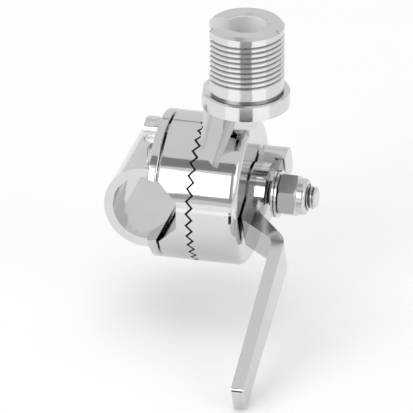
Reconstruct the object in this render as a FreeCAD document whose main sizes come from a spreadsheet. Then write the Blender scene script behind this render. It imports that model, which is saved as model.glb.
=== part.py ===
import FreeCAD
import Part
import Sketcher
import math
import os

# Rail mount for an antenna: a two-piece clamp holds a rail, a toothed joint sets the
# angle, a lever on the pivot bolt locks it, and a threaded stud takes the antenna.
# Frame: the origin is on the rail's centre line, +Y runs along the rail,
# +X runs along the pivot bolt towards its nut and +Z is up. Lengths are millimetres.

doc = FreeCAD.newDocument("rail_mount")
sheet = doc.addObject("Spreadsheet::Sheet", "Sizes")

DRIVING_SIZES = [
    # rail clamp
    ("rail_radius", 11.1), ("seat_clearance", 0.1), ("saddle_wall", 3.0),
    ("saddle_length", 41.0), ("plate_thickness", 3.3), ("plate_edge_radius", 0.8),
    ("clamp_gap", 0.9), ("rail_to_split", 4.8), ("rail_to_teeth", 15.3),
    ("web_radius", 3.4), ("web_overlap", 0.2),
    # drums and teeth
    ("drum_radius", 24.75), ("tooth_count", 36), ("tooth_depth", 1.95),
    ("tooth_phase", 2.0), ("tooth_gap", 0.45), ("tooth_ring_inner_radius", 14.0),
    ("relief_depth", 0.3), ("spigot_radius", 10.0), ("spigot_length", 5.0),
    ("spigot_clearance", 0.25), ("spigot_end_room", 1.7),
    ("rotor_length", 16.1), ("rotor_edge_radius", 2.5),
    # arm, neck, flange and stud
    ("recess_start", 6.5), ("recess_width", 2.1), ("recess_floor_height", 16.8),
    ("recess_lean", 15.0),
    ("stud_offset", 13.7), ("arm_foot_radius", 21.0), ("arm_foot_height", 12.0),
    ("arm_tooth_clearance", 1.3), ("arm_drum_clearance", 0.5),
    ("neck_half_width", 5.0), ("neck_overhang", 2.7),
    ("flange_radius", 14.6), ("flange_bottom", 32.0), ("flange_thickness", 5.5),
    ("flange_edge", 0.5), ("stud_radius", 12.7), ("stud_top", 61.3),
    ("stud_chamfer", 1.0), ("foot_groove_depth", 0.6), ("foot_groove_width", 0.9),
    ("cable_bore_radius", 6.75), ("bore_chamfer", 0.9), ("cable_slot_width", 8.0),
    ("cable_slot_floor", 34.0), ("cable_slot_turn", 103.75), ("cable_bore_floor", 33.2),
    # clamp screws
    ("screw_inset", 5.95), ("screw_radius", 2.5), ("screw_head_radius", 4.25),
    ("screw_head_length", 4.2), ("screw_engagement", 7.8), ("screw_hole_depth", 8.4),
    ("screw_socket_flats", 4.0), ("screw_socket_depth", 2.6), ("screw_clearance", 0.3),
    ("spot_face_radius", 4.7), ("lock_washer_radius", 4.35), ("lock_washer_thickness", 1.2),
    ("lock_washer_split", 0.9),
    # pivot bolt, nut and washers
    ("bolt_radius", 4.0), ("bolt_clearance", 0.2), ("thread_clearance", 0.05),
    ("bolt_head_flats", 13.0), ("bolt_head_height", 5.3), ("bolt_head_sink", 0.35),
    ("bolt_pocket_clearance", 0.1), ("bolt_end", 53.3), ("bolt_end_chamfer", 0.9),
    ("washer_radius", 7.9), ("washer_thickness", 0.7), ("washer_gap", 0.35),
    ("thrust_washer_thickness", 1.2), ("running_gap", 0.05),
    ("nut_flats", 13.0), ("nut_hex_height", 6.2), ("nut_height", 9.0),
    ("nut_collar_radius", 6.1), ("nut_collar_edge", 1.2), ("nut_corner_chamfer", 0.7),
    ("insert_radius", 5.2), ("insert_length", 2.2), ("insert_lip", 0.5),
    # lever
    ("release_travel", 1.75), ("lever_face_gap", 0.5), ("hub_radius", 10.0), ("hub_length", 5.5),
    ("lever_angle", 23.7), ("lever_half_width", 6.5), ("lever_tip_half_width", 5.0),
    ("lever_reach", 89.0), ("lever_thickness", 4.2), ("lever_flange_clearance", 0.45),
    ("tail_reach", 18.5), ("tail_height", 8.9), ("tail_root", 9.8),
    ("crank_inner_start", 17.7), ("crank_inner_end", 24.9),
    ("crank_outer_start", 14.0), ("crank_outer_end", 24.0), ("crank_bend_radius", 3.0),
    ("lever_edge_radius", 0.6),
]

for row, (alias, size) in enumerate(DRIVING_SIZES, start=1):
    sheet.set(f"A{row}", alias)
    sheet.set(f"B{row}", str(size))
    sheet.setAlias(f"B{row}", alias)
doc.recompute()


def size(alias):
    return float(sheet.get(alias))


def named(expression):
    """Writes the sheet's name before each alias of an expression."""
    for alias in sorted((alias for alias, _ in DRIVING_SIZES), key=len, reverse=True):
        expression = expression.replace("<" + alias + ">", "Sizes." + alias)
    return expression


def bind(thing, **expressions):
    for prop, expression in expressions.items():
        thing.setExpression(prop.replace("__", "."), named(expression))


# Stations along the pivot bolt, from the rail's centre line outwards.
SEAT = "(<rail_radius> + <seat_clearance>)"
SPLIT = "<rail_to_split>"
PLATE_BACK = f"({SPLIT} - <clamp_gap>)"
PLATE_FRONT = f"({PLATE_BACK} - <plate_thickness>)"
TEETH = "<rail_to_teeth>"
HALF_TOOTH = "(<tooth_depth> / 2)"
ROTOR_FACE = f"({TEETH} + <rotor_length>)"
RECESS = f"({TEETH} + <recess_start>)"
STUD_AXIS = f"({TEETH} + <stud_offset>)"
SCREW_HEIGHT = "(<drum_radius> - <screw_inset>)"
HEAD_SEAT = f"({SEAT} + <bolt_head_sink> + <bolt_head_height>)"
SPIGOT_END = f"({TEETH} + <spigot_length>)"
LEVER_BACK = f"({ROTOR_FACE} + <lever_face_gap>)"
HUB_BACK = f"({ROTOR_FACE} + <thrust_washer_thickness> + 2 * <running_gap>)"
HUB_FACE = f"({LEVER_BACK} + <hub_length>)"
INNER_WASHER = f"({HUB_FACE} + <release_travel>)"
OUTER_WASHER = f"({INNER_WASHER} + <washer_thickness> + <washer_gap>)"
NUT_SEAT = f"({OUTER_WASHER} + <washer_thickness> + <washer_gap>)"
FLANGE_TOP = "(<flange_bottom> + <flange_thickness>)"

ALONG_X = FreeCAD.Rotation(FreeCAD.Vector(0, 1, 0), 90)
ALONG_Y = FreeCAD.Rotation(FreeCAD.Vector(1, 0, 0), -90)
UPRIGHT = FreeCAD.Rotation()


def placed(kind, name, turn, x="0", y="0", z="0"):
    """A Part primitive whose own axis is turned and whose base point is bound."""
    thing = doc.addObject(kind, name)
    thing.Placement = FreeCAD.Placement(FreeCAD.Vector(), turn)
    bind(thing, Placement__Base__x=x, Placement__Base__y=y, Placement__Base__z=z)
    return thing


def rod(name, turn, radius, length, x="0", y="0", z="0"):
    thing = placed("Part::Cylinder", name, turn, x, y, z)
    bind(thing, Radius=radius, Height=length)
    return thing


def cone(name, turn, radius, end_radius, length, x="0", y="0", z="0"):
    thing = placed("Part::Cone", name, turn, x, y, z)
    bind(thing, Radius1=radius, Radius2=end_radius, Height=length)
    return thing


def block(name, x, y, z, length, width, height):
    thing = placed("Part::Box", name, UPRIGHT, x, y, z)
    bind(thing, Length=length, Width=width, Height=height)
    return thing


def prism(name, turn, sides, flats, length, x="0", y="0", z="0"):
    """A regular bar with two flats square to X or, on a hexagon, to Y."""
    thing = placed("Part::Prism", name, turn, x, y, z)
    thing.Polygon = sides
    bind(thing, Circumradius=f"({flats}) / 2 / cos(180 / {sides})", Height=length)
    return thing


def fused(name, *things):
    whole = doc.addObject("Part::MultiFuse", name)
    whole.Shapes = list(things)
    whole.Refine = True
    return whole


def cut(name, base, *tools):
    """Cuts every tool out of the base, one after the other."""
    for count, tool in enumerate(tools, start=1):
        whole = doc.addObject("Part::Cut", name if count == len(tools) else f"{name}Step{count}")
        whole.Base = base
        whole.Tool = tool
        whole.Refine = True
        base = whole
    return base


def shared(name, first, second):
    whole = doc.addObject("Part::Common", name)
    whole.Base = first
    whole.Tool = second
    whole.Refine = True
    return whole


def rounded(name, base, radius, picks):
    """Fillets the edges of the base that picks(edge) chooses."""
    doc.recompute()
    whole = doc.addObject("Part::Fillet", name)
    whole.Base = base
    edges = [index for index, edge in enumerate(base.Shape.Edges, start=1) if picks(edge)]
    whole.Edges = [(index, radius, radius) for index in edges]
    return whole


def bevelled(name, base, width, picks):
    """Chamfers the edges of the base that picks(edge) chooses."""
    doc.recompute()
    whole = doc.addObject("Part::Chamfer", name)
    whole.Base = base
    edges = [index for index, edge in enumerate(base.Shape.Edges, start=1) if picks(edge)]
    whole.Edges = [(index, width, width) for index in edges]
    return whole


def is_ring(edge, radius, x=None, z=None):
    """True for a circular edge of that radius, at that station if one is given."""
    curve = edge.Curve
    if not isinstance(curve, Part.Circle) or abs(curve.Radius - radius) > 1e-4:
        return False
    at_x = x is None or abs(curve.Center.x - x) < 1e-4
    at_z = z is None or abs(curve.Center.z - z) < 1e-4
    return at_x and at_z


def ring_body(name, outer, inner, start, thickness):
    """A washer on the pivot axis: two circles on the YZ plane, padded along +X."""
    body = doc.addObject("PartDesign::Body", name)
    plane = next(item for item in body.Origin.OriginFeatures if item.Role == "YZ_Plane")
    sketch = body.newObject("Sketcher::SketchObject", name + "Circles")
    sketch.AttachmentSupport = [(plane, "")]
    sketch.MapMode = "FlatFace"
    bind(sketch, AttachmentOffset__Base__z=start)
    middle = FreeCAD.Vector()
    for index, radius in enumerate((outer, inner)):
        sketch.addGeometry(Part.Circle(middle, FreeCAD.Vector(0, 0, 1), index + 1.0))
        sketch.addConstraint(Sketcher.Constraint("Coincident", index, 3, -1, 1))
        constraint = sketch.addConstraint(Sketcher.Constraint("Radius", index, 2.0 - index))
        sketch.setExpression(f"Constraints[{constraint}]", named(radius))
    pad = body.newObject("PartDesign::Pad", name + "Pad")
    pad.Profile = sketch
    bind(pad, Length=thickness)
    body.Tip = pad
    return body


def toothed_form(name, side, shift):
    """The space on one side of the ratchet's toothed surface, as a solid.

    The crests and roots are straight lines that all meet on the pivot axis, so the
    flanks are flat, the teeth grow with the radius and two such faces mesh.
    """
    count = int(size("tooth_count"))
    station = size("rail_to_teeth") + shift
    reach = 1.1 * size("drum_radius")
    rise = size("tooth_depth") / 2 * reach / size("drum_radius")
    back = station + side * size("drum_radius")
    front_points = []
    for step in range(2 * count):
        angle = math.radians(size("tooth_phase") + step * 180 / count)
        height = rise if step % 2 == 0 else -rise
        front_points.append(
            FreeCAD.Vector(station + height, reach * math.cos(angle), reach * math.sin(angle)))
    back_points = [FreeCAD.Vector(back, point.y, point.z) for point in front_points]
    apex = FreeCAD.Vector(station, 0, 0)
    faces = [Part.Face(Part.makePolygon(back_points + back_points[:1]))]
    for step, point in enumerate(front_points):
        following = (step + 1) % len(front_points)
        flank = [apex, point, front_points[following], apex]
        wall = [point, front_points[following], back_points[following], back_points[step], point]
        faces.append(Part.Face(Part.makePolygon(flank)))
        faces.append(Part.Face(Part.makePolygon(wall)))
    solid = Part.Solid(Part.Shell(faces))
    if solid.Volume < 0:
        solid.reverse()
    form = doc.addObject("Part::Feature", name)
    form.Shape = solid
    return form


def outline(name, corners, plane):
    """A closed wire through the corners (a, b, radius), each rounded by its radius."""
    points = [FreeCAD.Vector(*plane(a, b)) for a, b, _ in corners]
    edges = []
    ends = []
    for index, (_, _, radius) in enumerate(corners):
        here = points[index]
        before = (points[index - 1] - here).normalize()
        after = (points[(index + 1) % len(points)] - here).normalize()
        if radius == 0:
            ends.append((here, here))
            continue
        half = before.getAngle(after) / 2
        reach = radius / math.tan(half)
        middle = here + (before + after).normalize() * (radius / math.sin(half) - radius)
        start, end = here + before * reach, here + after * reach
        edges.append(Part.Arc(start, middle, end).toShape())
        ends.append((start, end))
    for index in range(len(points)):
        start, end = ends[index - 1][1], ends[index][0]
        if (end - start).Length > 1e-6:
            edges.append(Part.LineSegment(start, end).toShape())
    wire = doc.addObject("Part::Feature", name)
    wire.Shape = Part.Wire(Part.__sortEdges__(edges))
    return wire


def extruded(name, wire, direction, length):
    """A solid swept from the wire; the wire lies at the start of the sweep."""
    solid = doc.addObject("Part::Extrusion", name)
    solid.Base = wire
    solid.DirMode = "Custom"
    solid.Dir = direction
    solid.Solid = True
    bind(solid, LengthFwd=length)
    return solid


# Fixed jaw of the clamp: a drum with an eight-sided seat for the rail on one end and
# the face teeth on the other. Its spigot centres the turning half.
def make_rail_base():
    drum = rod("BaseDrum", ALONG_X, "<drum_radius>", f"{TEETH} + <tooth_depth> - {SPLIT}", x=SPLIT)
    teeth = cut("BaseTeeth", drum, toothed_form("SpaceOverBaseTeeth", 1, 0))
    relief = rod("BaseRelief", ALONG_X, "<tooth_ring_inner_radius>", "<drum_radius>",
                 x=f"{TEETH} - {HALF_TOOTH} - <relief_depth>")
    spigot = rod("Spigot", ALONG_X, "<spigot_radius>", f"{SPIGOT_END} - {SEAT}", x=SEAT)
    body = fused("BaseBlank", cut("BaseRing", teeth, relief), spigot)
    seat = prism("RailSeat", ALONG_Y, 8, f"2 * {SEAT}", "4 * <drum_radius>", y="-2 * <drum_radius>")
    seat.Placement.Rotation = seat.Placement.Rotation.multiply(
        FreeCAD.Rotation(FreeCAD.Vector(0, 0, 1), 22.5))
    pocket = prism("HeadPocket", ALONG_X, 6, "<bolt_head_flats> + 2 * <bolt_pocket_clearance>", HEAD_SEAT)
    hole = rod("BaseBoltHole", ALONG_X, "<bolt_radius> + <thread_clearance>", "2 * <drum_radius>")
    tools = [seat, pocket, hole]
    for side, sign in (("Upper", ""), ("Lower", "-")):
        tools.append(rod(side + "TappedHole", ALONG_X, "<screw_radius> + <thread_clearance>",
                         "<screw_hole_depth>", x=SPLIT, z=sign + SCREW_HEIGHT))
    return cut("RailBase", body, *tools)


# Hollow fillet between the plate and the saddle, on one side of the rail.
def saddle_web(side, sign, within):
    middle_x = f"({PLATE_FRONT} - <web_radius> + <web_overlap>)"
    apart = f"({SEAT} + <saddle_wall> + <web_radius> - <web_overlap>)"
    middle_z = f"sqrt({apart} ^ 2 - {middle_x} ^ 2)"
    low = f"({middle_z} - <web_radius>)" if sign == "" else f"(-{middle_z})"
    solid = block(side + "WebBlock", f"{PLATE_FRONT} - <web_radius>", "-<saddle_length> / 2", low,
                  "<web_radius> + <plate_thickness> / 2", "<saddle_length>", "<web_radius>")
    hollow = rod(side + "WebHollow", ALONG_Y, "<web_radius>", "<saddle_length>", x=middle_x,
                 y="-<saddle_length> / 2", z=sign + middle_z)
    return shared(side + "Web", cut(side + "WebBlank", solid, hollow), within)


# Loose jaw: a round plate with a half-round saddle that arches over the rail.
def make_clamp_cap():
    plate = rod("CapPlate", ALONG_X, "<drum_radius>", "<plate_thickness>", x=PLATE_FRONT)
    edge = size("drum_radius")
    plate = rounded("CapPlateRounded", plate, size("plate_edge_radius"), lambda ring: is_ring(ring, edge))
    saddle = rod("Saddle", ALONG_Y, f"{SEAT} + <saddle_wall>", "<saddle_length>", y="-<saddle_length> / 2")
    beyond = block("BehindSplit", PLATE_BACK, "-<drum_radius>", "-<drum_radius>",
                   "2 * <drum_radius>", "2 * <drum_radius>", "2 * <drum_radius>")
    within = rod("PlateReach", ALONG_X, "<drum_radius> - <plate_edge_radius>", "4 * <drum_radius>",
                 x="-2 * <drum_radius>")
    webs = [saddle_web("Upper", "", within), saddle_web("Lower", "-", within)]
    whole = fused("CapBlank", plate, cut("SaddleHalf", saddle, beyond), *webs)
    tools = [rod("CapSeat", ALONG_Y, SEAT, "4 * <drum_radius>", y="-2 * <drum_radius>")]
    for side, sign in (("Upper", ""), ("Lower", "-")):
        tools.append(rod(side + "SpotFace", ALONG_X, "<spot_face_radius>", f"<drum_radius> + {PLATE_FRONT}",
                         x="-<drum_radius>", z=sign + SCREW_HEIGHT))
        tools.append(rod(side + "CapHole", ALONG_X, "<screw_radius> + <screw_clearance>",
                         "2 * <drum_radius>", x="-<drum_radius>", z=sign + SCREW_HEIGHT))
    return cut("ClampCap", whole, *tools)


# One of the two socket-head screws that draw the jaws together.
def make_clamp_screw(side, sign):
    under_head = f"({PLATE_FRONT} - <lock_washer_thickness>)"
    height = sign + SCREW_HEIGHT
    head = rod(side + "ScrewHead", ALONG_X, "<screw_head_radius>", "<screw_head_length>",
               x=f"{under_head} - <screw_head_length>", z=height)
    shank = rod(side + "ScrewShank", ALONG_X, "<screw_radius>",
                f"{SPLIT} + <screw_engagement> - {under_head}", x=under_head, z=height)
    socket = prism(side + "ScrewSocket", ALONG_X, 6, "<screw_socket_flats>", "<screw_socket_depth>",
                   x=f"{under_head} - <screw_head_length>", z=height)
    return cut(side + "ClampScrew", fused(side + "ScrewBlank", head, shank), socket)


# Split spring washer under each clamp screw's head.
def make_lock_washer(side, sign):
    start = f"({PLATE_FRONT} - <lock_washer_thickness>)"
    height = sign + SCREW_HEIGHT
    disc = rod(side + "LockDisc", ALONG_X, "<lock_washer_radius>", "<lock_washer_thickness>",
               x=start, z=height)
    hole = rod(side + "LockHole", ALONG_X, "<screw_radius> + <screw_clearance> / 2",
               "<lock_washer_thickness>", x=start, z=height)
    split = block(side + "LockSplit", start, "-<lock_washer_split> / 2",
                  f"{height} - 2 * <lock_washer_radius>", "<lock_washer_thickness>",
                  "<lock_washer_split>", "2 * <lock_washer_radius>")
    return cut(side + "LockWasher", disc, hole, split)


# Hexagon bolt whose head sits in the base's pocket, behind the rail.
def make_pivot_bolt():
    head = prism("BoltHead", ALONG_X, 6, "<bolt_head_flats>", "<bolt_head_height>",
                 x=f"{HEAD_SEAT} - <bolt_head_height>")
    shank = rod("BoltShank", ALONG_X, "<bolt_radius>",
                f"<bolt_end> - <bolt_end_chamfer> - {HEAD_SEAT}", x=HEAD_SEAT)
    tip = cone("BoltTip", ALONG_X, "<bolt_radius>", "<bolt_radius> - <bolt_end_chamfer>",
               "<bolt_end_chamfer>", x="<bolt_end> - <bolt_end_chamfer>")
    return fused("PivotBolt", head, shank, tip)


# Turning half of the joint: a toothed drum with the arm and the neck that carry the
# stud. The recess between them leans outwards, so the arm widens towards the flange.
def make_tilt_drum():
    drum = rod("RotorDrum", ALONG_X, "<drum_radius>", "<rotor_length> + <tooth_depth>",
               x=f"{TEETH} - <tooth_depth>")
    outer, face = size("drum_radius"), size("rail_to_teeth") + size("rotor_length")
    drum = rounded("RotorDrumRounded", drum, size("rotor_edge_radius"),
                   lambda edge: is_ring(edge, outer, x=face))
    drum = cut("RotorTeeth", drum, toothed_form("SpaceUnderRotorTeeth", -1, size("tooth_gap")))

    lean = FreeCAD.Rotation(FreeCAD.Vector(0, 1, 0), size("recess_lean"))
    arm = cone("ArmCone", UPRIGHT, "<arm_foot_radius>", "<flange_radius>",
               "<flange_bottom> - <arm_foot_height>", x=STUD_AXIS, z="<arm_foot_height>")
    beside = block("BesideArmFoot", RECESS, "-2 * <flange_radius>", "0", "4 * <flange_radius>",
                   "4 * <flange_radius>", "<recess_floor_height>")
    leaning = block("BesideArm", RECESS, "-2 * <flange_radius>", "<recess_floor_height>",
                    "4 * <flange_radius>", "4 * <flange_radius>", "2 * <stud_top>")
    leaning.Placement.Rotation = lean
    over_base = block("BaseDrumRoom", f"{TEETH} + <arm_tooth_clearance> - 4 * <flange_radius>",
                      "-2 * <flange_radius>", "0", "4 * <flange_radius>", "4 * <flange_radius>",
                      "2 * <stud_top>")
    arm = cut("Arm", arm, beside, leaning, over_base)

    neck = block("Neck", f"{RECESS} + <recess_width>", "-<neck_half_width>", "<recess_floor_height>",
                 f"<rotor_length> - <recess_start> - <recess_width>", "2 * <neck_half_width>",
                 "<flange_bottom> - <recess_floor_height>")
    gusset = block("NeckGusset", ROTOR_FACE, "-<neck_half_width>", "<drum_radius> + <arm_drum_clearance>",
                   "<neck_overhang>", "2 * <neck_half_width>",
                   "<flange_bottom> - <drum_radius> - <arm_drum_clearance>")
    whole = fused("TiltDrumBlank", drum, arm, neck, gusset)

    recess = block("Recess", RECESS, "-2 * <flange_radius>", "<recess_floor_height>", "<recess_width>",
                   "4 * <flange_radius>", "2 * <flange_bottom>")
    recess.Placement.Rotation = lean
    relief = rod("RotorRelief", ALONG_X, "<tooth_ring_inner_radius>",
                 f"{TEETH} + {HALF_TOOTH} + <relief_depth> + <tooth_gap>")
    socket = rod("SpigotSocket", ALONG_X, "<spigot_radius> + <spigot_clearance>",
                 f"{SPIGOT_END} + <spigot_end_room>")
    hole = rod("RotorBoltHole", ALONG_X, "<bolt_radius> + <bolt_clearance>", "3 * <drum_radius>")
    return cut("TiltDrum", whole, recess, relief, socket, hole)


# Hollow threaded stud on its flange, welded on the arm and the neck. A slot lets the
# cable out of the bore on the side that faces the clamp.
def make_antenna_stud():
    flange = rod("Flange", UPRIGHT, "<flange_radius>", "<flange_thickness>", x=STUD_AXIS,
                 z="<flange_bottom>")
    rim = size("flange_radius")
    rim_top = size("flange_bottom") + size("flange_thickness")
    flange = bevelled("FlangeBevelled", flange, size("flange_edge"),
                      lambda edge: is_ring(edge, rim, z=rim_top))
    stud = rod("Stud", UPRIGHT, "<stud_radius>", f"<stud_top> - {FLANGE_TOP}", x=STUD_AXIS, z=FLANGE_TOP)
    crest, top = size("stud_radius"), size("stud_top")
    stud = bevelled("StudBevelled", stud, size("stud_chamfer"), lambda edge: is_ring(edge, crest, z=top))

    groove = cut("FootGroove",
                 rod("FootGrooveOuter", UPRIGHT, "<stud_radius> + <foot_groove_depth>",
                     "<foot_groove_width>", x=STUD_AXIS, z=FLANGE_TOP),
                 rod("FootGrooveInner", UPRIGHT, "<stud_radius> - <foot_groove_depth>",
                     "<foot_groove_width>", x=STUD_AXIS, z=FLANGE_TOP))
    bore = rod("CableBore", UPRIGHT, "<cable_bore_radius>", "<stud_top> - <cable_bore_floor>",
               x=STUD_AXIS, z="<cable_bore_floor>")
    mouth = cone("BoreMouth", UPRIGHT, "<cable_bore_radius>", "<cable_bore_radius> + <bore_chamfer>",
                 "<bore_chamfer>", x=STUD_AXIS, z="<stud_top> - <bore_chamfer>")
    turn = FreeCAD.Rotation(FreeCAD.Vector(0, 0, 1), size("cable_slot_turn"))
    slot = block("CableSlot", f"{STUD_AXIS} - <cable_slot_width> / 2 * cos(<cable_slot_turn>)",
                 "-<cable_slot_width> / 2 * sin(<cable_slot_turn>)",
                 "<cable_slot_floor> + <cable_slot_width> / 2", "<cable_slot_width>",
                 "2 * <flange_radius>", "<stud_top>")
    slot_end = rod("CableSlotEnd", ALONG_Y, "<cable_slot_width> / 2", "2 * <flange_radius>", x=STUD_AXIS,
                   z="<cable_slot_floor> + <cable_slot_width> / 2")
    slot.Placement.Rotation = turn
    slot_end.Placement.Rotation = turn.multiply(ALONG_Y)
    return cut("AntennaStud", fused("StudBlank", flange, stud), groove, bore, mouth, slot, slot_end)


# Cranked lever with a threaded hub: a flat bar steps outwards past the nut and the
# flange, and a thick tail balances it on the far side of the hub.
def make_clamp_lever():
    teeth, face = size("rail_to_teeth"), size("rail_to_teeth") + size("rotor_length")
    back = face + size("lever_face_gap")
    hub_face = back + size("hub_length")
    bar_back = teeth + size("stud_offset") + size("flange_radius") + size("lever_flange_clearance")
    bar_face = bar_back + size("lever_thickness")
    tail_face = back + size("tail_height")
    tail, tip = -size("tail_reach"), size("lever_reach")
    bend = size("crank_bend_radius")
    half = size("lever_half_width")
    edge = size("lever_edge_radius")
    side = outline("LeverSide", [
        (back, tail, 4 * edge), (tail_face, tail, 2 * edge), (tail_face, -size("tail_root"), edge),
        (hub_face, -size("tail_root"), 0), (hub_face, size("crank_outer_start"), bend),
        (bar_face, size("crank_outer_end"), 2 * bend), (bar_face, tip, edge), (bar_back, tip, edge),
        (bar_back, size("crank_inner_end"), bend), (back, size("crank_inner_start"), bend / 2),
    ], lambda x, reach: (x, -reach, -half))
    slab = extruded("LeverSlab", side, FreeCAD.Vector(0, 0, 1), "2 * <lever_half_width>")
    tip_half = size("lever_tip_half_width")
    plan = outline("LeverPlan", [
        (tail, -half, half * 0.999), (tail, half, half * 0.999), (size("crank_inner_end"), half, 0),
        (tip, tip_half, tip_half * 0.25), (tip, -tip_half, tip_half * 0.25),
        (size("crank_inner_end"), -half, 0),
    ], lambda reach, across: (back - size("lever_thickness"), -reach, across))
    blade = extruded("LeverBlade", plan, FreeCAD.Vector(1, 0, 0), "<drum_radius> + <flange_radius>")
    hub = rod("LeverHub", ALONG_X, "<hub_radius>", "<hub_length>", x=LEVER_BACK)
    whole = fused("LeverBlank", shared("LeverBar", slab, blade), hub)
    pocket = rod("WasherPocket", ALONG_X, "<washer_radius> + <bolt_clearance> + <running_gap>",
                 f"{HUB_BACK} - {LEVER_BACK}", x=LEVER_BACK)
    hole = rod("LeverThread", ALONG_X, "<bolt_radius> + <thread_clearance>", "3 * <drum_radius>")
    lever = cut("ClampLever", whole, pocket, hole)
    lever.Placement = FreeCAD.Placement(FreeCAD.Vector(), FreeCAD.Rotation(FreeCAD.Vector(1, 0, 0), 0))
    bind(lever, Placement__Rotation__Angle="<lever_angle>")
    return lever


# Lock nut: hexagon, then a round collar crimped over a nylon ring.
def make_lock_nut():
    corner = "<nut_flats> / 2 / cos(30)"
    hexagon = prism("NutHexagon", ALONG_X, 6, "<nut_flats>", "<nut_hex_height>", x=NUT_SEAT)
    seat_cone = cone("NutSeatCone", ALONG_X, f"{corner} - <nut_corner_chamfer>",
                     f"{corner} - <nut_corner_chamfer> + <nut_hex_height> * sqrt(3)",
                     "<nut_hex_height>", x=NUT_SEAT)
    top_cone = cone("NutTopCone", ALONG_X, f"<nut_collar_radius> + <nut_hex_height> * sqrt(3)",
                    "<nut_collar_radius>", "<nut_hex_height>", x=NUT_SEAT)
    hexagon = shared("NutHexagonEased", shared("NutHexagonSeated", hexagon, seat_cone), top_cone)
    collar = rod("NutCollar", ALONG_X, "<nut_collar_radius>", "<nut_height>", x=NUT_SEAT)
    ring, end = size("nut_collar_radius"), nut_seat() + size("nut_height")
    collar = rounded("NutCollarRounded", collar, size("nut_collar_edge"),
                     lambda edge: is_ring(edge, ring, x=end))
    room = rod("InsertRoom", ALONG_X, "<insert_radius>", "<insert_length>",
               x=f"{NUT_SEAT} + <nut_height> - <insert_lip> - <insert_length>")
    lip = rod("InsertLip", ALONG_X, "<bolt_radius> + <insert_lip>", "<nut_height>",
              x=f"{NUT_SEAT} + <nut_height> - <insert_lip>")
    thread = rod("NutThread", ALONG_X, "<bolt_radius> + <thread_clearance>", "<nut_height>", x=NUT_SEAT)
    return cut("LockNut", fused("NutBlank", hexagon, collar), room, lip, thread)


def nut_seat():
    """The nut's seat as a number, from the same sizes as the NUT_SEAT expression."""
    lever_back = size("rail_to_teeth") + size("rotor_length") + size("lever_face_gap")
    inner_washer = lever_back + size("hub_length") + size("release_travel")
    return inner_washer + 2 * (size("washer_thickness") + size("washer_gap"))


nodes = {
    "rail_base": make_rail_base(),
    "clamp_cap": make_clamp_cap(),
    "pivot_bolt": make_pivot_bolt(),
    "tilt_drum": make_tilt_drum(),
    "antenna_stud": make_antenna_stud(),
    "thrust_washer": ring_body("ThrustWasher", "<washer_radius>", "<bolt_radius> + <bolt_clearance>",
                               f"{ROTOR_FACE} + <running_gap>", "<thrust_washer_thickness>"),
    "clamp_lever": make_clamp_lever(),
    "inner_retaining_washer": ring_body("InnerWasher", "<washer_radius>", "<bolt_radius> + <bolt_clearance>",
                                        INNER_WASHER, "<washer_thickness>"),
    "outer_retaining_washer": ring_body("OuterWasher", "<washer_radius>", "<bolt_radius> + <bolt_clearance>",
                                        OUTER_WASHER, "<washer_thickness>"),
    "lock_nut": make_lock_nut(),
    "nut_insert": ring_body("NutInsert", "<insert_radius>", "<bolt_radius> + <thread_clearance>",
                            f"{NUT_SEAT} + <nut_height> - <insert_lip> - <insert_length>", "<insert_length>"),
}
for place, direction in (("upper", ""), ("lower", "-")):
    nodes[place + "_clamp_screw"] = make_clamp_screw(place.title(), direction)
    nodes[place + "_lock_washer"] = make_lock_washer(place.title(), direction)
doc.recompute()

for node, thing in nodes.items():
    thing.Label = node
for thing in doc.Objects:
    if {"Invalid", "Error"} & set(thing.State):
        raise RuntimeError(f"{thing.Label} failed to compute")
for node, thing in nodes.items():
    shape = thing.Shape
    if shape.isNull() or not shape.isValid() or len(shape.Solids) != 1:
        raise RuntimeError(f"{node} isn't one valid solid: {len(shape.Solids)}")
    box = shape.BoundBox
    print(f"{node}: {shape.Volume:.0f} mm3, X {box.XMin:.1f} to {box.XMax:.1f}, "
          f"Y {box.YMin:.1f} to {box.YMax:.1f}, Z {box.ZMin:.1f} to {box.ZMax:.1f}")

os.makedirs("parts", exist_ok=True)
for node, thing in nodes.items():
    thing.Shape.exportStep(f"parts/{node}.step")
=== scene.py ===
# %% [markdown]
# # A tilting rail mount for an antenna
#
# The solids of the mount come in with the frame: a clamp for a rail, a toothed joint, a locking
# lever and a hollow stud. This lesson dresses them. It cuts real screw threads, knurls the screw
# heads, makes the polished and the machined steel, and lights them as a studio does.
#
# The frame has its origin on the rail's centre line, +Y along the rail, +X along the pivot bolt
# towards its nut and +Z up. Blender's unit is the metre, so sizes are written as millimetres
# times MM.

import math

import bmesh
import bpy
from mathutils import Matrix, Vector


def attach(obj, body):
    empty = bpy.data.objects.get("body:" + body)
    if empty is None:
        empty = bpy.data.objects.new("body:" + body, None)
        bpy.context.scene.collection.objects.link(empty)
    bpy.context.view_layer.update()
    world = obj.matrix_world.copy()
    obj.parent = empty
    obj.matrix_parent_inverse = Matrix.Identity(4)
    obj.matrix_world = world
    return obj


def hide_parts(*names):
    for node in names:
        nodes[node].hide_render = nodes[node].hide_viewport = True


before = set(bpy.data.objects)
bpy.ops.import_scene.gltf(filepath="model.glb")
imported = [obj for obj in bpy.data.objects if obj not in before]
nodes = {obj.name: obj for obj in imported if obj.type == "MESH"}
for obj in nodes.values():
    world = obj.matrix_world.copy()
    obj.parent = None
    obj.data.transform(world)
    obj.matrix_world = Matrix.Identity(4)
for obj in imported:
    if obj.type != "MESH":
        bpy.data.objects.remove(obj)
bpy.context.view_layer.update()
scene = bpy.context.scene

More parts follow.
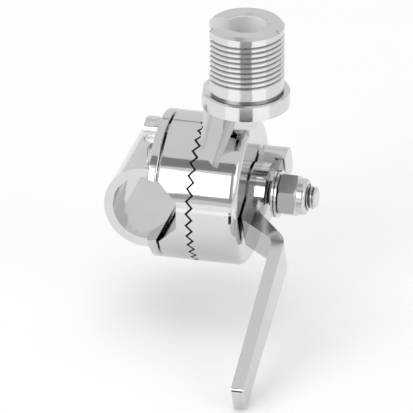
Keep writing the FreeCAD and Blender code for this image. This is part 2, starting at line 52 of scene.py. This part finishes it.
MM = 0.001
STUD_AXIS = 29.0 * MM
STUD_RADIUS = 12.7 * MM
FLANGE_TOP = 37.5 * MM
STUD_TOP = 61.3 * MM
SLOT_WIDTH = 8.0 * MM
SLOT_BEARING = 193.75
TOOTH_PLANE = 15.3 * MM
DRUM_RADIUS = 24.75 * MM
TOOTH_DEPTH = 1.95 * MM
TOOTH_GAP = 0.45 * MM
TOOTH_PHASE = 2.0
TOOTH_STEP = 10.0
SCREW_HEIGHT = 18.8 * MM
SCREW_HEAD = (-4.8 * MM, -0.6 * MM)
SCREW_HEAD_RADIUS = 4.25 * MM
BORE_RADIUS = 6.75 * MM
STUD_PITCH = 1.814 * MM
STUD_THREAD = (41.6 * MM, 59.0 * MM)
BOLT_RADIUS = 4.0 * MM
BOLT_PITCH = 1.25 * MM
BOLT_THREAD = (33.0 * MM, 53.9 * MM)
print("nodes:", ", ".join(sorted(nodes)))

# %% [markdown]
# ## A small language for shaders
#
# Shader sums are easier to read as sums. A Socket wraps one output of a node. Its operators add
# Math nodes, and its graph adds any other node.


# %% Shader language
class Socket:
    """One output of a shader node, with arithmetic."""

    def __init__(self, graph, output):
        self.graph = graph
        self.output = output

    def maths(self, operation, *others):
        return self.graph.node("ShaderNodeMath", operation=operation, inputs=[self, *others])

    def __add__(self, other):
        return self.maths("ADD", other)

    def __sub__(self, other):
        return self.maths("SUBTRACT", other)

    def __mul__(self, other):
        return self.maths("MULTIPLY", other)

    def __rsub__(self, other):
        return self.graph.node("ShaderNodeMath", operation="SUBTRACT", inputs=[other, self])

    __radd__ = __add__
    __rmul__ = __mul__

    def within(self, low, high, edge):
        """1 between low and high, 0 outside, with soft edges of that width."""
        return self.stepped(low - edge, low) * (1 - self.stepped(high, high + edge))

    def stepped(self, low, high):
        """0 below low, 1 above high and a smooth rise between them."""
        return self.graph.node("ShaderNodeMapRange", interpolation_type="SMOOTHSTEP",
                               inputs={"Value": self, "From Min": low, "From Max": high})


class Graph:
    """The nodes of one material."""

    def __init__(self, name):
        self.material = bpy.data.materials.new(name)
        self.material.use_nodes = True
        self.tree = self.material.node_tree
        self.tree.nodes.clear()
        self.surface = self.tree.nodes.new("ShaderNodeBsdfPrincipled")
        ending = self.tree.nodes.new("ShaderNodeOutputMaterial")
        self.tree.links.new(self.surface.outputs["BSDF"], ending.inputs["Surface"])
        self.place = self.node("ShaderNodeTexCoord", output="Object")

    def node(self, kind, inputs=(), output=0, **settings):
        """Adds a node, sets or links its inputs and gives one output back as a Socket."""
        made = self.tree.nodes.new(kind)
        for name, value in settings.items():
            setattr(made, name, value)
        pairs = inputs.items() if isinstance(inputs, dict) else enumerate(inputs)
        for key, value in pairs:
            self.set(made.inputs[key], value)
        return Socket(self, made.outputs[output])

    def set(self, target, value):
        if isinstance(value, Socket):
            self.tree.links.new(value.output, target)
        else:
            target.default_value = value

    def axes(self):
        """The three object coordinates as Sockets."""
        first = self.node("ShaderNodeSeparateXYZ", inputs=[self.place])
        return [Socket(self, output) for output in first.output.node.outputs]

    def shader(self, **values):
        """Sets inputs of the Principled shader; Base_Color stands for Base Color."""
        for name, value in values.items():
            self.set(self.surface.inputs[name.replace("_", " ")], value)

    def noise(self, scale, detail=2.0, stretch=(1, 1, 1), roughness=0.5):
        """Noise from 0 to 1; scale counts its blobs per metre."""
        place = self.node("ShaderNodeVectorMath", operation="MULTIPLY", inputs=[self.place, stretch])
        inputs = {"Vector": place, "Scale": scale, "Detail": detail, "Roughness": roughness}
        return self.node("ShaderNodeTexNoise", inputs=inputs)

    def blend(self, share, first, second):
        """A colour between two colours."""
        made = self.tree.nodes.new("ShaderNodeMix")
        made.data_type = "RGBA"
        self.set(made.inputs["Factor"], share)
        for index, colour in ((6, first), (7, second)):
            self.set(made.inputs[index], colour if isinstance(colour, Socket) else (*colour, 1.0))
        return Socket(self, made.outputs[2])

    def bump(self, height, depth, base=None):
        """A normal from a height of 0 to 1 that stands for that depth in metres."""
        inputs = {"Height": height, "Strength": 1.0, "Distance": depth}
        if base is not None:
            inputs["Normal"] = base
        return self.node("ShaderNodeBump", inputs=inputs)


print("shader language ready")

# %% [markdown]
# ## Painted shade and painted light
#
# Shade is painted into the steel: the gap where the two rings of teeth meet, the flanks of the teeth
# and the roots of the threads are coloured dark, and the bore and slot walls are painted light.
# Each gets a mask, a number from 0 to 1 that is worked out from the object coordinates. Sums suit
# this better than a painted picture, because the places follow from the mount's own sizes.


# %% Masks
def tooth_gap_shade(graph):
    """A mask for painted shade, the dark zigzag where the two rings of teeth meet, 1 on it and 0 elsewhere."""
    x, y, z = graph.axes()
    radius = (y * y + z * z).maths("SQRT")
    turn = z.maths("ARCTAN2", y) * math.degrees(1.0)
    share = ((turn - TOOTH_PHASE) * (1 / TOOTH_STEP)).maths("FRACT")
    wave = (share * 2 - 1).maths("ABSOLUTE") * 2 - 1
    edge = x - wave * radius * (TOOTH_DEPTH / 2 / DRUM_RADIUS) - (TOOTH_PLANE + TOOTH_GAP / 2)
    return 1 - edge.maths("ABSOLUTE").stepped(0.38 * MM, 0.56 * MM)


def tooth_flank_shade(graph):
    """A mask for the flanks of the teeth, below the drums' polished outside, where shade is painted in."""
    x, y, z = graph.axes()
    radius = (y * y + z * z).maths("SQRT")
    near = x.within(TOOTH_PLANE - 1.6 * MM, TOOTH_PLANE + 2.0 * MM, 0.1 * MM)
    return near * (1 - radius.stepped(DRUM_RADIUS - 0.10 * MM, DRUM_RADIUS - 0.03 * MM))


def thread_root_shade(graph):
    """A mask for painted shade in the roots of the stud's thread."""
    x, y, z = graph.axes()
    aside = x - STUD_AXIS
    radius = (aside * aside + y * y).maths("SQRT")
    root = radius.within(9.0 * MM, STUD_RADIUS - 0.66 * MM, 0.45 * MM)
    threaded = z.within(FLANGE_TOP + 0.1 * MM, STUD_TOP - 1.6 * MM, 0.3 * MM)
    return root * threaded


def bore_wall_light(graph):
    """A mask for the walls of the stud's bore and slot, which no polishing wheel reaches and which are painted
    light.
    """
    x, y, z = graph.axes()
    aside = x - STUD_AXIS
    radius = (aside * aside + y * y).maths("SQRT")
    turn = math.radians(SLOT_BEARING)
    across = (y * math.cos(turn) - aside * math.sin(turn)).maths("ABSOLUTE")
    along = aside * math.cos(turn) + y * math.sin(turn)
    upper = z.stepped(STUD_TOP - 20 * MM, STUD_TOP - 12 * MM)
    bore = (1 - radius.stepped(BORE_RADIUS + 0.1 * MM, BORE_RADIUS + 0.25 * MM)) * upper
    beside = across.stepped(SLOT_WIDTH / 2 + 0.02 * MM, SLOT_WIDTH / 2 + 0.1 * MM)
    slot = (1 - beside) * along.stepped(5 * MM, 6 * MM)
    return bore.maths("MAXIMUM", slot)


def bolt_root_shade(graph):
    """A mask for painted shade in the roots of the pivot bolt's thread."""
    x, y, z = graph.axes()
    radius = (y * y + z * z).maths("SQRT")
    return (1 - radius.stepped(3.45 * MM, 3.9 * MM)) * (1 - x.stepped(52.1 * MM, 52.4 * MM))


print("masks ready")

# %% [markdown]
# ## Steel and nylon
#
# Polished cast steel is a mirror that isn't quite flat. Its surface rolls gently over a few
# millimetres, the buffing wheel leaves hair-fine marks, and the tooth flanks, where no wheel
# reaches, are matt and have shade painted on them. The marks run along the direction in which each part was
# buffed.


# %% Steel and nylon
POLISH_LOW = (0.655, 0.66, 0.67)
POLISH_HIGH = (0.725, 0.725, 0.72)


def polished_steel(name, marks, painted_shades=()):
    """Mirror-polished cast steel; marks stretches the buffing marks, and the last argument holds masks where
    shade is painted in.
    """
    graph = Graph(name)
    cloud = graph.noise(90.0, detail=3.0)
    marking = graph.noise(900.0, detail=3.0, stretch=marks)
    pits = graph.noise(2600.0, detail=1.0).stepped(0.70, 0.76)
    colour = graph.blend(cloud, POLISH_LOW, POLISH_HIGH)
    colour = graph.blend(pits * 0.35, colour, (0.40, 0.40, 0.40))
    rough = cloud * 0.04 + marking * 0.06 + pits * 0.1 + 0.03
    # Painted shade: each mask colours its place near black, in the gap and on the flanks of the teeth.
    for dark in painted_shades:
        mask = dark(graph)
        colour = graph.blend(mask, colour, (0.045, 0.045, 0.045))
        rough = rough + mask * 0.3
    rolling = graph.bump(graph.noise(110.0, detail=1.0), 0.030 * MM)
    scratches = graph.bump(marking, 0.0006 * MM, rolling)
    graph.shader(Base_Color=colour, Metallic=1.0, Roughness=rough, Normal=scratches)
    return graph.material


def thread_steel(name):
    """The stud's steel: polished crests, roots that are rougher and painted darker as shade, and a bore
    painted light.
    """
    graph = Graph(name)
    cloud = graph.noise(90.0, detail=3.0)
    chatter = graph.noise(1500.0, detail=3.0, stretch=(1.0, 1.0, 4.0))
    roots = thread_root_shade(graph)
    colour = graph.blend(cloud, POLISH_LOW, POLISH_HIGH)
    # Painted shade: the thread roots are coloured darker, unevenly along the chatter marks.
    colour = graph.blend(roots * (chatter * 0.3 + 0.66), colour, (0.27, 0.27, 0.275))
    # Painted light: the bore and slot walls are coloured lighter and made rougher, so that the recess doesn't
    # read dark.
    bore = bore_wall_light(graph)
    colour = graph.blend(bore, colour, (0.90, 0.90, 0.90))
    rough = cloud * 0.05 + chatter * 0.08 + roots * 0.18 + bore * 0.55 + 0.05
    rolling = graph.bump(graph.noise(140.0, detail=1.0), 0.015 * MM)
    graph.shader(Base_Color=colour, Metallic=1.0, Roughness=rough,
                 Normal=graph.bump(chatter, 0.0012 * MM, rolling))
    return graph.material


def machined_steel(name, stretch, painted_shades=()):
    """Turned or rolled stainless steel with fine rings round the bolt's axis."""
    graph = Graph(name)
    rings = graph.node("ShaderNodeTexWave", wave_type="BANDS", bands_direction="X",
                       inputs={"Vector": graph.place, "Scale": 900.0, "Distortion": 1.5, "Detail": 2.0})
    cloud = graph.noise(250.0, detail=3.0)
    scuffs = graph.noise(1500.0, detail=4.0, stretch=stretch)
    colour = graph.blend(cloud, (0.66, 0.66, 0.67), (0.76, 0.76, 0.76))
    rough = cloud * 0.08 + scuffs * 0.12 + 0.14
    # Painted shade: each mask colours its place darker, here the roots of the bolt's thread.
    for dark in painted_shades:
        mask = dark(graph)
        colour = graph.blend(mask * 0.8, colour, (0.09, 0.09, 0.09))
        rough = rough + mask * 0.2
    grain = graph.bump(rings, 0.001 * MM)
    graph.shader(Base_Color=colour, Metallic=1.0, Roughness=rough,
                 Normal=graph.bump(scuffs, 0.0015 * MM, grain))
    return graph.material


def nylon(name):
    graph = Graph(name)
    cloud = graph.noise(400.0, detail=3.0)
    colour = graph.blend(cloud, (0.78, 0.77, 0.72), (0.86, 0.85, 0.80))
    graph.shader(Base_Color=colour, Roughness=cloud * 0.15 + 0.40,
                 Normal=graph.bump(graph.noise(2500.0), 0.01 * MM))
    return graph.material


print("steels and nylon ready")

# %% Finishes of the mount
finishes = {
    "clamp": polished_steel("polished_clamp", (0.08, 1.0, 1.0), (tooth_gap_shade, tooth_flank_shade)),
    "drum": polished_steel("polished_drum", (1.0, 1.0, 0.15), (tooth_gap_shade, tooth_flank_shade)),
    "stud": thread_steel("threaded_stud_steel"),
    "lever": polished_steel("polished_lever", (1.0, 0.10, 0.25)),
    "fastener": machined_steel("machined_fastener", (1.0, 1.0, 0.2)),
    "bolt": machined_steel("bolt_steel", (0.2, 1.0, 1.0), (bolt_root_shade,)),
    "nylon": nylon("natural_nylon"),
}
print("materials:", ", ".join(finishes))

# %% [markdown]
# ## Screw threads
#
# A thread is cut as on a lathe: a pointed tool travels round and along the bar, and the groove
# that it leaves starts and ends by running out to the surface. The tool's path is a mesh, and a
# Boolean modifier takes it away from a copy of the solid.


# %% Thread cutting
GROOVE_DEPTH = 1.402
ROOT_FLAT = 0.06


def helical_groove(name, radius, pitch, start, end, place, width=0.875, steps=72):
    """A closed mesh for a 60-degree groove round an axis; width is its share of the pitch."""
    half = 0.5 * width * pitch
    depth = GROOVE_DEPTH * half
    flat = ROOT_FLAT * pitch
    over = 0.25 * pitch
    turns = (end - start) / pitch
    count = int(turns * steps)
    mesh = bmesh.new()
    rings = []
    for index in range(count + 1):
        angle = 2 * math.pi * index / steps
        middle = start + pitch * index / steps
        ending = min(index, count - index) / (0.4 * steps)
        share = min(1.0, 0.02 + ending)
        root = radius - depth * share
        rise = half * share * (1 + over / depth)
        outer = radius + over * share
        ring = []
        for distance, along in ((outer, -rise), (root, -flat), (root, flat), (outer, rise)):
            point = place(middle + along, distance * math.cos(angle), distance * math.sin(angle))
            ring.append(mesh.verts.new(point))
        rings.append(ring)
    for before, after in zip(rings, rings[1:]):
        for corner in range(4):
            following = (corner + 1) % 4
            mesh.faces.new((before[corner], before[following], after[following], after[corner]))
    mesh.faces.new(list(reversed(rings[0])))
    mesh.faces.new(rings[-1])
    bmesh.ops.recalc_face_normals(mesh, faces=mesh.faces)
    data = bpy.data.meshes.new(name)
    mesh.to_mesh(data)
    mesh.free()
    tool = bpy.data.objects.new(name, data)
    scene.collection.objects.link(tool)
    return tool


def copy_of(node, name):
    """A free copy of a CAD node's mesh, ready to be cut."""
    data = nodes[node].data.copy()
    data.name = name
    piece = bpy.data.objects.new(name, data)
    scene.collection.objects.link(piece)
    return piece


def weld(piece):
    """Merges the loose triangles and drops the normals that came with them."""
    for name in ("custom_normal", "sharp_edge", "sharp_face"):
        if name in piece.data.attributes:
            piece.data.attributes.remove(piece.data.attributes[name])
    mesh = bmesh.new()
    mesh.from_mesh(piece.data)
    bmesh.ops.remove_doubles(mesh, verts=mesh.verts, dist=1e-7)
    bmesh.ops.recalc_face_normals(mesh, faces=mesh.faces)
    mesh.to_mesh(piece.data)
    mesh.free()


def cut_away(piece, tool):
    """Takes the tool's space out of the piece for good, and removes the tool."""
    cutter = piece.modifiers.new("cut", "BOOLEAN")
    cutter.operation = "DIFFERENCE"
    cutter.solver = "EXACT"
    cutter.object = tool
    bpy.context.view_layer.update()
    seen = piece.evaluated_get(bpy.context.evaluated_depsgraph_get())
    data = bpy.data.meshes.new_from_object(seen)
    piece.modifiers.clear()
    piece.data = data
    bpy.data.objects.remove(tool)


def shade(piece, material, angle=30.0):
    """One material, smooth shading and sharp edges above that angle in degrees."""
    data = piece.data
    data.materials.clear()
    data.materials.append(material)
    for face in data.polygons:
        face.use_smooth = True
        face.material_index = 0
    data.set_sharp_from_angle(angle=math.radians(angle))


def upright(along, x, y):
    return (STUD_AXIS + x, y, along)


def along_bolt(along, x, y):
    return (along, x, y)


stud = copy_of("antenna_stud", "threaded_stud")
weld(stud)
cut_away(stud, helical_groove("stud_groove", STUD_RADIUS, STUD_PITCH, *STUD_THREAD, upright,
                             width=0.56, steps=96))
shade(stud, finishes["stud"])

bolt = copy_of("pivot_bolt", "threaded_pivot_bolt")
weld(bolt)
cut_away(bolt, helical_groove("bolt_groove", BOLT_RADIUS, BOLT_PITCH, *BOLT_THREAD, along_bolt, steps=48))
shade(bolt, finishes["bolt"])
print("threaded pieces:", len(stud.data.polygons), "and", len(bolt.data.polygons), "faces")

# %% [markdown]
# ## Knurled screw heads
#
# The heads of the clamp screws are knurled so that fingers can start them. A knurl is one small
# rib many times over, so Geometry Nodes set a rib on each point of a ring. The tree's inputs are
# the number of ribs and their sizes, and the result is made a plain mesh.


# %% Knurl
def ribbed_ring():
    """A Geometry Nodes tree: ribs along X, spread round a ring in the YZ plane."""
    tree = bpy.data.node_groups.new("ribbed_ring", "GeometryNodeTree")
    inputs = {}
    for name, kind in (("Ribs", "NodeSocketInt"), ("Radius", "NodeSocketFloat"), ("Length", "NodeSocketFloat"),
                       ("Height", "NodeSocketFloat"), ("Start", "NodeSocketVector"),
                       ("Finish", "NodeSocketMaterial")):
        inputs[name] = tree.interface.new_socket(name, in_out="INPUT", socket_type=kind).identifier
    tree.interface.new_socket("Geometry", in_out="OUTPUT", socket_type="NodeSocketGeometry")
    given = tree.nodes.new("NodeGroupInput")
    ring = tree.nodes.new("GeometryNodeMeshCircle")
    rib = tree.nodes.new("GeometryNodeMeshCylinder")
    rib.inputs["Vertices"].default_value = 6
    turned = tree.nodes.new("GeometryNodeTransform")
    turned.inputs["Rotation"].default_value = (0.0, math.pi / 2, 0.0)
    placed = tree.nodes.new("GeometryNodeInstanceOnPoints")
    stood = tree.nodes.new("GeometryNodeTransform")
    stood.inputs["Rotation"].default_value = (0.0, math.pi / 2, 0.0)
    real = tree.nodes.new("GeometryNodeRealizeInstances")
    finish = tree.nodes.new("GeometryNodeSetMaterial")
    ending = tree.nodes.new("NodeGroupOutput")
    link = tree.links.new
    link(given.outputs["Ribs"], ring.inputs["Vertices"])
    link(given.outputs["Radius"], ring.inputs["Radius"])
    link(given.outputs["Height"], rib.inputs["Radius"])
    link(given.outputs["Length"], rib.inputs["Depth"])
    link(ring.outputs["Mesh"], stood.inputs["Geometry"])
    link(given.outputs["Start"], stood.inputs["Translation"])
    link(rib.outputs["Mesh"], turned.inputs["Geometry"])
    link(stood.outputs["Geometry"], placed.inputs["Points"])
    link(turned.outputs["Geometry"], placed.inputs["Instance"])
    link(placed.outputs["Instances"], real.inputs["Geometry"])
    link(real.outputs["Geometry"], finish.inputs["Geometry"])
    link(given.outputs["Finish"], finish.inputs["Material"])
    link(finish.outputs["Geometry"], ending.inputs["Geometry"])
    return tree, inputs


def knurl(name, height):
    """A ring of ribs round the screw head at that height, as a plain mesh."""
    start, end = SCREW_HEAD
    piece = bpy.data.objects.new(name, bpy.data.meshes.new(name))
    scene.collection.objects.link(piece)
    ribs = piece.modifiers.new("ribs", "NODES")
    ribs.node_group = tree
    ribs[inputs["Ribs"]] = 40
    ribs[inputs["Radius"]] = SCREW_HEAD_RADIUS
    ribs[inputs["Length"]] = end - start - 1.1 * MM
    ribs[inputs["Height"]] = 0.20 * MM
    ribs[inputs["Start"]] = ((start + end) / 2, 0.0, height)
    ribs[inputs["Finish"]] = finishes["fastener"]
    bpy.context.view_layer.update()
    seen = piece.evaluated_get(bpy.context.evaluated_depsgraph_get())
    data = bpy.data.meshes.new_from_object(seen)
    piece.modifiers.clear()
    piece.data = data
    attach(piece, "rail_clamp")
    return len(data.polygons)


tree, inputs = ribbed_ring()
print("knurl faces:", knurl("upper_screw_knurl", SCREW_HEIGHT), "and",
      knurl("lower_screw_knurl", -SCREW_HEIGHT))

# %% [markdown]
# ## Finishes for the other solids
#
# The rest of the solids already have their true shape and take a material in their slots.

# %% Dressing the solids
DRESS = {
    "rail_base": "clamp", "clamp_cap": "clamp", "tilt_drum": "drum", "clamp_lever": "lever",
    "thrust_washer": "fastener",
    "inner_retaining_washer": "fastener", "outer_retaining_washer": "fastener", "lock_nut": "fastener",
    "upper_lock_washer": "fastener", "lower_lock_washer": "fastener", "nut_insert": "nylon",
    "upper_clamp_screw": "fastener", "lower_clamp_screw": "fastener",
}
for node, finish in DRESS.items():
    slots = nodes[node].material_slots
    for slot in slots:
        slot.link = "OBJECT"
        slot.material = finishes[finish]
    if not slots:
        nodes[node].data.materials.append(finishes[finish])
print("dressed:", len(DRESS), "solids")

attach(stud, "tilting_stud")
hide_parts("antenna_stud")
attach(bolt, "rail_clamp")
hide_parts("pivot_bolt")

# %% [markdown]
# ## Studio
#
# The camera looks down on the mount from the front right with a long lens, as in a catalogue
# picture. The floor and the surroundings are white, and the metal mirrors them.

# %% Camera
AIM = Vector((15.6 * MM, 0.0, -7.5 * MM))
AZIMUTH = math.radians(13.75)
ELEVATION = math.radians(26.0)
DISTANCE = 4.56
towards = Vector((math.sin(AZIMUTH) * math.cos(ELEVATION),
                  -math.cos(AZIMUTH) * math.cos(ELEVATION), math.sin(ELEVATION)))
camera = bpy.data.objects.new("camera", bpy.data.cameras.new("camera"))
camera.data.lens = 1200.0
camera.data.sensor_width = 36.0
camera.data.clip_end = 50.0
camera.location = AIM + towards * DISTANCE
camera.rotation_mode = "QUATERNION"
camera.rotation_quaternion = (-towards).to_track_quat("-Z", "Y")
scene.collection.objects.link(camera)
scene.camera = camera
print("camera at", [round(value, 3) for value in camera.location])

# %% [markdown]
# ## Floor, lamps and cards
#
# Polished metal shows its surroundings more than its own colour. White stands all round it, and
# grey sheets that only reflections see put the dark and light stripes on the steel. Each sheet is
# placed for one surface, which a painted world couldn't do.

# %% Floor, world and lamps
FLOOR = -40.3 * MM


def floor():
    data = bpy.data.meshes.new("floor")
    reach = 6.0
    corners = [(-reach, -reach, FLOOR), (reach, -reach, FLOOR), (reach, reach, FLOOR), (-reach, reach, FLOOR)]
    data.from_pydata(corners, [], [(0, 1, 2, 3)])
    piece = bpy.data.objects.new("floor", data)
    graph = Graph("pale_floor")
    cloud = graph.noise(30.0, detail=2.0)
    seen = graph.node("ShaderNodeLightPath", output="Is Camera Ray")
    for kind in ("Is Glossy Ray", "Is Transmission Ray"):
        seen = seen.maths("MAXIMUM", graph.node("ShaderNodeLightPath", output=kind))
    glow = graph.blend(seen, (0.0, 0.0, 0.0), (1.0, 1.0, 1.0))
    graph.shader(Base_Color=graph.blend(cloud, (0.90, 0.90, 0.90), (0.92, 0.92, 0.92)), Roughness=0.9,
                 Specular_IOR_Level=0.2, Emission_Color=glow, Emission_Strength=0.12)
    data.materials.append(graph.material)
    scene.collection.objects.link(piece)


def lamp(name, place, aim, size, power, seen=True):
    data = bpy.data.lights.new(name, "AREA")
    data.shape = "RECTANGLE"
    data.size, data.size_y = size
    data.energy = power
    piece = bpy.data.objects.new(name, data)
    piece.location = place
    piece.rotation_mode = "QUATERNION"
    piece.rotation_quaternion = (Vector(aim) - Vector(place)).to_track_quat("-Z", "Y")
    piece.visible_glossy = seen
    scene.collection.objects.link(piece)


def white_world(strength):
    """White where the camera, mirrors and glass look; plain light of that strength elsewhere."""
    world = bpy.data.worlds.new("studio")
    scene.world = world
    world.use_nodes = True
    tree = world.node_tree
    tree.nodes.clear()
    path = tree.nodes.new("ShaderNodeLightPath")
    light = tree.nodes.new("ShaderNodeBackground")
    seen = tree.nodes.new("ShaderNodeBackground")
    light.inputs["Strength"].default_value = strength
    seen.inputs["Strength"].default_value = 1.0
    either = tree.nodes.new("ShaderNodeMath")
    either.operation = "MAXIMUM"
    also = tree.nodes.new("ShaderNodeMath")
    also.operation = "MAXIMUM"
    mixed = tree.nodes.new("ShaderNodeMixShader")
    ending = tree.nodes.new("ShaderNodeOutputWorld")
    tree.links.new(path.outputs["Is Camera Ray"], either.inputs[0])
    tree.links.new(path.outputs["Is Glossy Ray"], either.inputs[1])
    tree.links.new(either.outputs[0], also.inputs[0])
    tree.links.new(path.outputs["Is Transmission Ray"], also.inputs[1])
    tree.links.new(also.outputs[0], mixed.inputs[0])
    tree.links.new(light.outputs[0], mixed.inputs[1])
    tree.links.new(seen.outputs[0], mixed.inputs[2])
    tree.links.new(mixed.outputs[0], ending.inputs[0])


def card(name, corners, grey):
    """A grey sheet that only reflections see, as a photographer hangs round shiny metal."""
    data = bpy.data.meshes.new(name)
    data.from_pydata(corners, [], [tuple(range(len(corners)))])
    piece = bpy.data.objects.new(name, data)
    scene.collection.objects.link(piece)
    graph = Graph(name)
    graph.shader(Base_Color=(0.0, 0.0, 0.0, 1.0), Roughness=1.0, Specular_IOR_Level=0.0,
                 Emission_Color=(grey, grey, grey, 1.0), Emission_Strength=1.0)
    data.materials.append(graph.material)
    piece.visible_camera = False
    piece.visible_diffuse = False
    piece.visible_shadow = False
    piece.visible_transmission = False


def hanging_card(name, start, end, grey, reach=1.6):
    """A card seen from start to end degrees above the front horizon, right across the view."""
    corners = []
    for angle, side in ((start, -1), (start, 1), (end, 1), (end, -1)):
        turn = math.radians(angle)
        corners.append((side * reach, -math.cos(turn), math.sin(turn)))
    card(name, corners, grey)


def facing_card(name, left, right, low, high, grey, distance=0.9):
    """An upright card in front, between two bearings and two heights in degrees."""
    corners = []
    for bearing, rise in ((left, low), (right, low), (right, high), (left, high)):
        turn = math.radians(bearing)
        corners.append((distance * math.sin(turn), -distance * math.cos(turn),
                        distance * math.tan(math.radians(rise))))
    card(name, corners, grey)


def wedge(near, far, left, right, steps=8):
    """Corners of a ring's piece between two distances in mm and two bearings in degrees."""
    turns = [math.radians(left + (right - left) * step / steps) for step in range(steps + 1)]
    inner = [(near * math.cos(turn), near * math.sin(turn)) for turn in turns]
    outer = [(far * math.cos(turn), far * math.sin(turn)) for turn in reversed(turns)]
    return inner + outer


def floor_card(name, corners, grey, bearing=AZIMUTH):
    """A card on the floor; its corners are (out, across) in mm from the stud, out on that bearing."""
    places = []
    for out, across in corners:
        x = out * math.sin(bearing) + across * math.cos(bearing)
        y = -out * math.cos(bearing) + across * math.sin(bearing)
        places.append((STUD_AXIS + x * MM, y * MM, FLOOR + 0.2 * MM))
    card(name, places, grey)


floor()
white_world(0.72)
lamp("front_box", (-0.45, -0.90, 0.55), (0.0, 0.0, 0.0), (0.80, 0.66), 3.4)
lamp("side_box", (0.95, -0.45, 0.50), (0.0, 0.0, 0.0), (0.7, 0.6), 1.4)
lamp("top_box", (-0.2, 0.3, 1.3), (0.0, 0.0, 0.0), (1.2, 1.2), 6.0, seen=False)
hanging_card("dark_band", 50.0, 65.0, 0.26)
hanging_card("dark_edge", 137.0, 141.0, 0.40)
hanging_card("horizon", 4.0, 11.0, 0.42, reach=0.9)
facing_card("camera_side", -7.0, 27.0, 8.0, 60.0, 0.42)
floor_card("front_gap", wedge(92, 174, -16.5, 16.5), 0.03)
floor_card("collar_gap", wedge(174, 189, -16.5, 16.5), 1.3)
floor_card("far_gap", wedge(189, 240, -16.5, 16.5), 0.33)
floor_card("left_sheet", wedge(160, 240, -54, -18), 1.25)
floor_card("right_sheet", wedge(160, 240, 18, 61), 1.25)
scene.view_settings.view_transform = "Standard"
print("studio ready")
